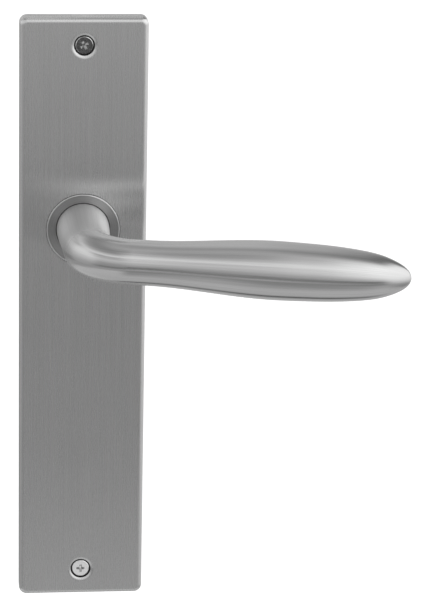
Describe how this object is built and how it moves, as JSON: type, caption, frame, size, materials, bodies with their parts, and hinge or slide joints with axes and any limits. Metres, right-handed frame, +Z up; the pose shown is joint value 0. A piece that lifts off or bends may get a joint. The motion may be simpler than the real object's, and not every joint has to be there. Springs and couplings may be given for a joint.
{
  "type": "door lever handle",
  "caption": "Round cigar-shaped lever on a long rectangular back plate, with a turned collar, return spring cassette and square spindle.",
  "frame": {"origin": "on the spindle's axis, in the plane of the door's face behind the plate", "axes": "+X towards the lever's tip, +Y into the door along the spindle, +Z up along the plate"},
  "size_m": [0.1495, 0.1192, 0.24],
  "materials": {
    "brushed_plate": "satin, brushed along the plate's length",
    "satin_lever": "satin, brushed along the lever",
    "turned_collar": "turned, with circular grain",
    "screw_steel": "nickel plated",
    "zinc_steel": "bright zinc plated, pressed",
    "sintered_steel": "sintered, oiled",
    "spring_steel": "tempered, dark",
    "spindle_steel": "drawn bar, zinc plated",
    "black_steel": "black oxide",
    "carrier_nylon": "moulded, fine texture",
    "bearing_nylon": "moulded, natural"
  },
  "bodies": {
    "plate": {"cover_plate": "brushed_plate", "base_plate": "carrier_nylon", "screw_ferrules": "zinc_steel", "fixing_screws": "screw_steel", "collar_ring": "turned_collar", "glide_ring": "carrier_nylon", "neck_bush": "bearing_nylon", "rear_bush": "bearing_nylon", "spring_cup": "zinc_steel", "return_spring": "spring_steel", "slide_washer": "bearing_nylon", "stop_plate": "zinc_steel", "stop_plate_screws": "screw_steel"},
    "lever": {"lever_handle": "satin_lever", "spindle": "spindle_steel", "spindle_spring": "spring_steel", "grub_screw": "black_steel", "driver_ring": "sintered_steel", "retaining_ring": "spring_steel", "disc_spring": "spring_steel"}
  },
  "joints": [
    {"name": "lever_turn", "type": "hinge", "parent": "plate", "child": "lever", "pos_m": [0, 0, 0], "axis": [0, 1, 0], "range_deg": [0, 45], "stiffness_Nm_per_rad": 1.2, "springref_deg": -34.38, "deforming": ["return_spring"]}
  ]
}
